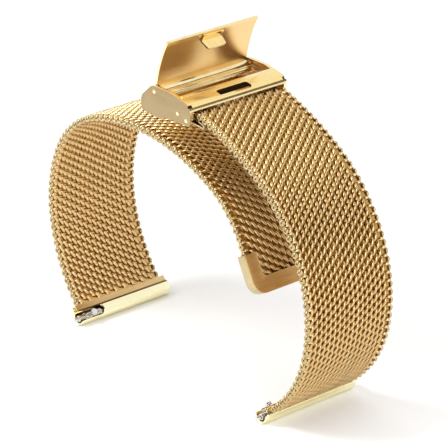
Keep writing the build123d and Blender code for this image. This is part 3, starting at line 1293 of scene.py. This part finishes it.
@dataclass
class Clasp:
    """The frame, its pins, the lid with its catch, and the folded strap end.

    Attributes:
        shop: The maker of materials.
        cheek_outer: The outer side of a cheek, from the middle of the band.
        cheek_inner: The inner side of a cheek.
        cheek_slack: How near to a side a face has to be to count as on it.
        edge_slack: How far from the inner side a face is past the cheek's inner bevel.
        square_on: The least part of a normal across the band on a cheek's flat sides.
        hinge: The axis of the lid's hinge in the side view.
        lid_lean: How far the lid leans from lying flat.
        lid_half_width: Half the lid's width.
        lid_tip: Where the lid's front edge begins, from the hinge.
        lid_border: The width of the border at the lid's sides.
        lid_flat: The least part of a face's normal along the lid's own that still counts as its flat.
        catch_flat: The same for the catch.
        catch_tilt: The least part of a normal to the near or the lower side of the catch.
        knuckle_reach: The reach of the knuckle and the cam from the hinge.
        knuckle_top: Their height over the hinge.
        plate_over_pin: The least height of the catch plate over the strap pin.
        slot_half_width: Half the width that takes in the plate's slot.
        slot_tilt: The most of a slot wall's normal that is upright.
        plate_front: Where the plate's front bend begins.
        plate_rear: Where the plate's rear flange stands.
        front: The plate's front face.
        front_depth: How far behind the front a face may lie and still be on it.
        front_facing: The least part of a normal to the front on the front face.
        bend_depth: How far behind the front its rounded edge reaches.
        bend_tilt: The least part of a normal to the front, and upwards, on that edge.
        notch: The middle of the notch at the front of a cheek.
        notch_radius: The notch's radius.
        notch_slack: How far inside a cheek's inner side its faces may lie.
        fold_middle: The middle of the strap end's fold, from the strap pin.
        fold_side: The most of a normal across the band inside the fold.
        sheet: The thickness of the frame's sheet.
        lip_inset: The middle of the rear lip, from the rear and the bottom of the frame.
        lip_size: The lip's length and height.
        flange: The lowest and the highest point of the plate's rear flange, a dark sheet that paints the
            shade seen through the slot.
        bead: The middle of the bead on the plate's rear edge, a pale strip that paints the reflection there.
        bead_size: The bead's length and height.
        bead_edge: The width of its rounded edges.
        plate_lean: How far the bead leans to the front.
        turned_edge_width: The width of the rounded edges of the lip and the flange.
    """

    shop: MetalShop
    cheek_outer: float = 11.2
    cheek_inner: float = 10.5
    cheek_slack: float = 0.05
    edge_slack: float = 0.06
    square_on: float = 0.98
    hinge: Point = (-3.0676, 54.4281)
    lid_lean: float = 70.6
    lid_half_width: float = 10.4
    lid_tip: float = 9.4
    lid_border: float = 0.2
    lid_flat: float = 0.9
    catch_flat: float = 0.5
    catch_tilt: float = 0.4
    knuckle_reach: float = 2.15
    knuckle_top: float = 0.87
    plate_over_pin: float = 1.6
    slot_half_width: float = 3.7
    slot_tilt: float = 0.3
    plate_front: float = 6.4
    plate_rear: float = 3.1
    front: float = 6.8024
    front_depth: float = 0.1
    front_facing: float = 0.9
    bend_depth: float = 0.25
    bend_tilt: float = 0.25
    notch: Point = (6.3524, 54.2681)
    notch_radius: float = 0.34
    notch_slack: float = 0.2
    fold_middle: Point = (0.8, -0.1)
    fold_side: float = 0.5
    sheet: float = 0.3
    lip_inset: Point = (0.5, 0.55)
    lip_size: Point = (0.4, 1.1)
    flange: tuple[float, float] = (53.2, 54.9)
    bead: Point = (3.47, 55.125)
    bead_size: Point = (0.66, 0.06)
    bead_edge: float = 0.02
    plate_lean: float = 10.95
    turned_edge_width: float = 0.1

    def lid_out(self) -> Vector:
        """Return the way out of the lid's inner face."""
        return Vector((sin(radians(self.lid_lean)), 0.0, -cos(radians(self.lid_lean))))

    def lid_up(self) -> Vector:
        """Return the way along the lid from its hinge to its tip."""
        return Vector((cos(radians(self.lid_lean)), 0.0, sin(radians(self.lid_lean))))

    def on_cheek(self, centre: Vector, normal: Vector) -> bool:
        """Tell whether a face is the outer side of a cheek."""
        return abs(normal.y) > self.square_on and abs(centre.y) > self.cheek_outer - self.cheek_slack

    def in_cheek(self, centre: Vector, normal: Vector) -> bool:
        """Tell whether a face is the inner side of a cheek."""
        return abs(normal.y) > self.square_on and abs(centre.y) < self.cheek_inner + self.cheek_slack

    def on_cheek_edge(self, centre: Vector, normal: Vector) -> bool:
        """Tell whether a face is on the rounded edge of a cheek."""
        return abs(centre.y) > self.cheek_inner + self.edge_slack and abs(normal.y) < self.square_on

    def on_lid_edge(self, centre: Vector, normal: Vector) -> bool:
        """Tell whether a face is on the edge of the lid's sheet.

        Args:
            centre: The face's centre in millimetres.
            normal: The face's normal.

        Returns:
            Whether it is at the tip or a side of the lid and not on its flat.
        """
        reach = (centre - Vector((self.hinge[0], 0.0, self.hinge[1]))).dot(self.lid_up())
        at_edge = reach > self.lid_tip or abs(centre.y) > self.lid_half_width - self.lid_border
        return at_edge and abs(normal.dot(self.lid_out())) < self.lid_flat

    def on_catch_edge(self, centre: Vector, normal: Vector) -> bool:
        """Tell whether a face is on the near or the lower edge of the catch."""
        facing = normal.y < -self.catch_tilt or normal.dot(self.lid_up()) < -self.catch_tilt
        return facing and abs(normal.dot(self.lid_out())) < self.catch_flat

    def on_knuckle(self, centre: Vector, normal: Vector) -> bool:
        """Tell whether a face is on the lid's knuckle or its cam."""
        reach = Vector((centre.x - self.hinge[0], centre.z - self.hinge[1]))
        return reach.length < self.knuckle_reach and reach.y < self.knuckle_top

    def in_slot(self, centre: Vector, normal: Vector) -> bool:
        """Tell whether a face is a wall of the slot in the catch plate."""
        in_plate = centre.z > STRAP_PIN[1] + self.plate_over_pin and centre.x < self.plate_front
        return in_plate and abs(centre.y) < self.slot_half_width and abs(normal.z) < self.slot_tilt

    def in_notch(self, centre: Vector, normal: Vector) -> bool:
        """Tell whether a face is inside the notch at the front of a cheek."""
        reach = Vector((centre.x - self.notch[0], centre.z - self.notch[1])).length
        return reach < self.notch_radius and abs(centre.y) > self.cheek_inner - self.notch_slack

    def on_front_bend(self, centre: Vector, normal: Vector) -> bool:
        """Tell whether a face is on the upper front edge of the catch plate."""
        at_front = centre.x > self.front - self.bend_depth and abs(centre.y) < self.cheek_inner
        return at_front and min(normal.x, normal.z) > self.bend_tilt

    def on_front_face(self, centre: Vector, normal: Vector) -> bool:
        """Tell whether a face is the front of the catch plate."""
        at_front = centre.x > self.front - self.front_depth and abs(centre.y) < self.cheek_inner
        return at_front and normal.x > self.front_facing

    def in_fold(self, centre: Vector, normal: Vector) -> bool:
        """Tell whether a face is inside the folded strap end."""
        middle = Vector((STRAP_PIN[0] + self.fold_middle[0], centre.y, STRAP_PIN[1] + self.fold_middle[1]))
        return abs(normal.y) < self.fold_side and normal.dot(centre - middle) < 0.0

    def parts(self) -> list[BevelledPart]:
        """List the parts of the clasp with their finishes.

        Returns:
            The parts, in the order in which they are built.
        """
        # Painted shade on the cheeks' inner sides, the slot walls, the notch and the plate's front bend.
        frame = (
            Accent(CHEEK_GOLD, self.on_cheek),
            Accent(CHEEK_INNER_SHADE, self.in_cheek),
            Accent(RIM_GOLD, self.on_cheek_edge),
            Accent(RIM_GOLD, self.on_front_face),
            Accent(EDGE_SHADE_GOLD, self.on_front_bend),
            Accent(SHADED_GOLD, self.in_slot),
            Accent(SHADED_GOLD, self.in_notch),
        )
        lid = (Accent(RIM_GOLD, self.on_lid_edge), Accent(RIM_GOLD, self.on_knuckle))
        # Painted shadow along the catch's near and lower edges, and painted shade inside the strap end's
        # fold.
        catch = (Accent(EDGE_SHADE_GOLD, self.on_catch_edge),)
        fold = (Accent(EDGE_SHADE_GOLD, self.in_fold),)
        return [
            BevelledPart("clasp_frame", "clasp", "gold_brushed", PLATE_GOLD, edge=0.13, accents=frame),
            *(
                BevelledPart(pin, "clasp", "gold_brushed", RIM_GOLD, edge=0.14, segments=3)
                for pin in ("hinge_pin", "guide_pin", "strap_pin")
            ),
            BevelledPart("lid", "lid", "gold_polished", LID_GOLD, edge=0.1, accents=lid),
            BevelledPart("lid_catch", "lid", "gold_polished", CATCH_GOLD, edge=0.06, accents=catch),
            BevelledPart("strap_end_loop", "short_1", "gold_mesh", BEAD_GOLD, edge=0.04, accents=fold),
        ]

    def turned_edge(
        self, name: str, middle: Point, size: Point, finish: MetalFinish, lean: float, edge: float
    ) -> None:
        """Add a narrow turned edge of the frame's sheet, from cheek to cheek.

        Args:
            name: The name of the piece.
            middle: Its middle in the side view.
            size: Its length along X and its height.
            finish: The metal finish.
            lean: How far it leans to the front.
            edge: The width of its rounded edges.
        """
        piece = flat_bar(name, (size[0], 2 * self.cheek_inner, size[1]), edge, 3, middle, lean)
        smooth(piece, SHEET_CREASE)
        self.shop.dress(piece, finish)
        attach(piece, "clasp")
        LOG.info("%s: %d faces", piece.name, len(piece.data.polygons))

    def build(self, nodes: dict[str, bpy.types.Object]) -> None:
        """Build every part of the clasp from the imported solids.

        Args:
            nodes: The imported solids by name.
        """
        for part in self.parts():
            part.build(nodes, self.shop)
        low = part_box("clasp_frame")[0] / MM
        lip = (low.x + self.lip_inset[0], low.z + self.lip_inset[1])
        self.turned_edge("rear_lip", lip, self.lip_size, INNER_GOLD, 0.0, self.turned_edge_width)
        bottom, top = self.flange
        flange = (self.plate_rear + self.sheet / 2, (bottom + top) / 2)
        flange_size = (self.sheet, top - bottom)
        # The flange is a dark sheet that paints the shade seen through the plate's slot.
        self.turned_edge("plate_flange", flange, flange_size, SHADED_GOLD, 0.0, self.turned_edge_width)
        # The bead is a raised strip in the pale rim finish that paints the cream reflection along the plate's
        # rear edge.
        self.turned_edge("plate_bead", self.bead, self.bead_size, RIM_GOLD, self.plate_lean, self.bead_edge)


@dataclass(frozen=True)
class TubeShape:
    """Where the parts of an end tube lie, seen from the side.

    Attributes:
        centre: The tube's axis in the side view.
        mesh_heading: The direction in which the mesh leaves the tube.
        wrist_side: 1 where the wrist is to the left of that direction, and -1 where it is to the right.
        bore: The radius of the tube's bore, with its bevels.
        bore_end: The most of a bore face's normal along the tube.
        radius: The tube's radius.
        lip_start: Where the lips begin, from the axis towards the mesh.
        lip_height: The outside of a lip, from the middle plane of the mesh.
        lip_slack: How much lower its faces may lie.
        groove_along: Where the groove is, along from the corner of the lip and the round.
        groove_side: Where it is, outwards from that corner.
    """

    centre: Point
    mesh_heading: float
    wrist_side: float
    bore: float = 1.17
    bore_end: float = 0.9
    radius: float = 1.45
    lip_start: float = 1.15
    lip_height: float = 0.78
    lip_slack: float = 0.1
    groove_along: Point = (-0.4, 0.1)
    groove_side: Point = (-0.14, 0.42)

    def place(self, centre: Vector) -> Point:
        """Measure a point from the tube's axis.

        Args:
            centre: The point in millimetres.

        Returns:
            Its distance towards the mesh, and its distance towards the wrist.
        """
        turn = radians(self.mesh_heading)
        x, z = centre.x - self.centre[0], centre.z - self.centre[1]
        return x * cos(turn) + z * sin(turn), self.wrist_side * (-x * sin(turn) + z * cos(turn))

    def in_bore(self, centre: Vector, normal: Vector) -> bool:
        """Tell whether a face is inside the tube."""
        return Vector(self.place(centre)).length < self.bore and abs(normal.y) < self.bore_end

    def on_lip(self, centre: Vector, normal: Vector) -> bool:
        """Tell whether a face is on the outside of the lip towards the wrist."""
        along, side = self.place(centre)
        return along > self.lip_start and side > self.lip_height - self.lip_slack

    def in_groove(self, centre: Vector, normal: Vector) -> bool:
        """Tell whether a face is in the groove between a lip and the tube's round.

        Args:
            centre: The face's centre in millimetres.
            normal: The face's normal; not used.

        Returns:
            Whether it is near the corner where the lip meets the round.
        """
        along, side = self.place(centre)
        corner = (self.radius**2 - self.lip_height**2) ** 0.5
        at_corner = self.groove_along[0] < along - corner < self.groove_along[1]
        return at_corner and self.groove_side[0] < side - self.lip_height < self.groove_side[1]


@dataclass
class StrandEnds:
    """The two end tubes with their spring bars, and the cap on the tail.

    Attributes:
        shop: The maker of materials.
        long_tube: The shape of the long piece's tube.
        short_tube: The shape of the short piece's tube.
        rim_tilt: The least part of a normal across the band on the cap's rim.
        spring: The coil spring in a bar.
    """

    shop: MetalShop
    long_tube: TubeShape = TubeShape(LONG_TUBE, LONG_HEADING, -1.0)
    short_tube: TubeShape = TubeShape(SHORT_TUBE, SHORT_HEADING, 1.0)
    rim_tilt: float = 0.35
    spring: Winding = Winding(pitch=0.45, turns=8, half_length=0.44, half_height=0.44, wire=0.11)

    def on_cap_rim(self, centre: Vector, normal: Vector) -> bool:
        """Tell whether a face is on a side rim of the cap."""
        return abs(normal.y) > self.rim_tilt

    def parts(self, side: str, body: str, shape: TubeShape) -> list[BevelledPart]:
        """List the solid parts at the tube end of a strand.

        Args:
            side: The strand's name.
            body: The body that holds the tube.
            shape: The shape of the tube.

        Returns:
            The tube and the solid parts of its spring bar.
        """
        # Painted shade in the bore and the groove, and a painted reflection of the mesh on the lip towards
        # the wrist.
        accents = (
            Accent(SHADED_GOLD, shape.in_bore),
            Accent(LIP_REFLECTION_GOLD, shape.on_lip),
            Accent(EDGE_SHADE_GOLD, shape.in_groove),
        )
        steel, release = "spring_bar_steel", side + "_release"
        return [
            BevelledPart(
                side + "_lug_tube", body, "gold_satin", TUBE_GOLD, edge=0.14, segments=3, accents=accents
            ),
            BevelledPart(side + "_bar_barrel", body, steel, BAR_STEEL, edge=0.05),
            BevelledPart(side + "_bar_fixed_tip", body, steel, BAR_STEEL, edge=0.04),
            BevelledPart(side + "_bar_release_pin", release, steel, BAR_STEEL, edge=0.09, segments=3),
        ]

    def coil_spring(self, side: str, body: str) -> None:
        """Wind the coil spring inside a bar's barrel.

        Args:
            side: The strand's name.
            body: The body that holds the bar.
        """
        low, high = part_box(side + "_bar_spring")
        coil = self.spring.wind(side + "_bar_coil")
        coil.matrix_world = Matrix.Translation((low + high) / 2) @ Matrix.Rotation(pi / 2, 4, "X")
        settle(coil)
        self.shop.dress(coil, BAR_STEEL)
        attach(coil, body)
        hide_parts(side + "_bar_spring")
        LOG.info("%s: %d faces", coil.name, len(coil.data.polygons))

    def build(self, nodes: dict[str, bpy.types.Object]) -> None:
        """Build the tubes, bars, springs and cap.

        Args:
            nodes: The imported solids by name.
        """
        for side, body, shape in (("short", "short_4", self.short_tube), ("long", "long_1", self.long_tube)):
            for part in self.parts(side, body, shape):
                part.build(nodes, self.shop)
            self.coil_spring(side, body)
        rim = (Accent(CAP_RIM, self.on_cap_rim),)
        cap = BevelledPart("tail_cap", "long_6", "gold_satin", CAP_GOLD, edge=0.28, segments=3, accents=rim)
        cap.build(nodes, self.shop)


# The studio


@dataclass(frozen=True)
class SoftLamp:
    """A square soft lamp.

    Attributes:
        name: The lamp's name.
        place: Its place.
        side: The length of its side.
        watts: Its power.
    """

    name: str
    place: Place
    side: float
    watts: float

    def hang(self, aim: Place) -> None:
        """Hang the lamp so that it faces a point.

        Args:
            aim: The point.
        """
        data = bpy.data.lights.new(self.name, "AREA")
        data.shape = "SQUARE"
        data.size = self.side * MM
        data.energy = self.watts
        lamp = bpy.data.objects.new(self.name, data)
        bpy.context.scene.collection.objects.link(lamp)
        lamp.location = Vector(self.place) * MM
        way = Vector(aim) * MM - lamp.location
        lamp.rotation_euler = way.to_track_quat("-Z", "Y").to_euler()


@dataclass(frozen=True)
class DarkCard:
    """A dark card that only shows as a reflection in the metal.

    Attributes:
        name: The card's name.
        toward: The direction from the band to the card.
        distance: Its distance from the band.
        side: The length of its side.
        grey: Its brightness.
    """

    name: str
    toward: Place
    distance: float
    side: float
    grey: float = 0.03

    def set_up(self) -> None:
        """Set up the card, facing the band."""
        deselect()
        way = Vector(self.toward).normalized()
        bpy.ops.mesh.primitive_plane_add(size=self.side * MM, location=way * self.distance * MM)
        card = bpy.context.active_object
        card.name = self.name
        card.rotation_euler = (-way).to_track_quat("Z", "Y").to_euler()
        card.data.materials.append(plain_material(self.name, self.grey))
        card.visible_camera = False
        card.visible_diffuse = False
        card.visible_shadow = False


def plain_material(name: str, grey: float) -> bpy.types.Material:
    """Make a dull grey material for the studio.

    Args:
        name: The material's name.
        grey: Its brightness.

    Returns:
        A node material.
    """
    material = bpy.data.materials.new(name)
    material.use_nodes = True
    shader = material.node_tree.nodes["Principled BSDF"]
    shader.inputs["Base Color"].default_value = (grey, grey, grey, 1.0)
    shader.inputs["Roughness"].default_value = DULL
    return material


@dataclass
class Studio:
    """The floor, the white surround, the lamps and the camera.

    Attributes:
        lens: The camera's focal length.
        sensor: The width of its sensor.
        azimuth: Its direction round the band.
        elevation: Its height, as an angle.
        distance: Its distance from the point that it looks at.
        target: The point that it looks at.
        clip: The nearest and the furthest distance that it sees, in metres.
        surround_level: The surround's strength as a light.
        floor_side: The length of the floor's side, in metres.
        floor_grey: The floor's brightness.
        lamp_aim: The point that the lamps face.
        lamps: The soft lamps.
        card: The dark card.
    """

    lens: float = 233.1
    sensor: float = 36.0
    azimuth: float = 49.43
    elevation: float = 23.92
    distance: float = 522.1
    target: Place = (2.709, 0.0, 27.771)
    clip: tuple[float, float] = (0.01, 20.0)
    surround_level: float = 0.95
    floor_side: float = 3.0
    floor_grey: float = 0.97
    lamp_aim: Place = (0.0, 0.0, 30.0)
    lamps: tuple[SoftLamp, ...] = (
        SoftLamp("key_lamp", (-120.0, -160.0, 260.0), side=120.0, watts=0.45),
        SoftLamp("fill_lamp", (260.0, -60.0, 180.0), side=160.0, watts=0.25),
    )
    card: DarkCard = DarkCard("front_card", (0.3, -0.6, 0.75), distance=900.0, side=1100.0)

    def world(self) -> None:
        """Make the surround: white to the camera and in reflections, softer as a light."""
        world = bpy.data.worlds.new("surround")
        bpy.context.scene.world = world
        world.use_nodes = True
        nodes, links = world.node_tree.nodes, world.node_tree.links
        background = nodes["Background"]
        path = nodes.new("ShaderNodeLightPath")
        seen = path.outputs["Is Camera Ray"]
        for other in ("Is Glossy Ray", "Is Transmission Ray"):
            either = nodes.new("ShaderNodeMath")
            either.operation = "MAXIMUM"
            links.new(seen, either.inputs[0])
            links.new(path.outputs[other], either.inputs[1])
            seen = either.outputs["Value"]
        level = nodes.new("ShaderNodeMapRange")
        level.inputs["To Min"].default_value = self.surround_level
        level.inputs["To Max"].default_value = 1.0
        links.new(seen, level.inputs["Value"])
        links.new(level.outputs["Result"], background.inputs["Strength"])
        background.inputs["Color"].default_value = (1.0, 1.0, 1.0, 1.0)

    def floor(self) -> None:
        """Lay the pale floor that the band stands on."""
        deselect()
        bpy.ops.mesh.primitive_plane_add(size=self.floor_side, location=(0.0, 0.0, 0.0))
        floor = bpy.context.active_object
        floor.name = "floor"
        material = plain_material("floor_white", self.floor_grey)
        material.node_tree.nodes["Principled BSDF"].inputs["Specular IOR Level"].default_value = 0.0
        floor.data.materials.append(material)

    def camera(self) -> None:
        """Set the camera at the photograph's angle."""
        data = bpy.data.cameras.new("camera")
        data.sensor_width = self.sensor
        data.lens = self.lens
        data.clip_start, data.clip_end = self.clip
        camera = bpy.data.objects.new("camera", data)
        bpy.context.scene.collection.objects.link(camera)
        turn, lift = radians(self.azimuth), radians(self.elevation)
        away = Vector((sin(turn) * cos(lift), -cos(turn) * cos(lift), sin(lift)))
        camera.location = Vector(self.target) * MM + away * self.distance * MM
        camera.rotation_euler = (-away).to_track_quat("-Z", "Y").to_euler()
        bpy.context.scene.camera = camera

    def build(self) -> None:
        """Build the whole studio."""
        self.world()
        self.floor()
        for lamp in self.lamps:
            lamp.hang(self.lamp_aim)
        self.card.set_up()
        self.camera()
        bpy.context.scene.view_settings.view_transform = "Standard"
        LOG.info("studio ready")


def main() -> None:
    """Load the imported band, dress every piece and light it."""
    logging.basicConfig(level=logging.INFO, format="%(name)s: %(message)s")
    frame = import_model()
    shop = MetalShop()
    WovenMesh(shop).build()
    Clasp(shop).build(frame["nodes"])
    StrandEnds(shop).build(frame["nodes"])
    Studio().build()
    LOG.info("done")


if __name__ == "__main__":
    main()
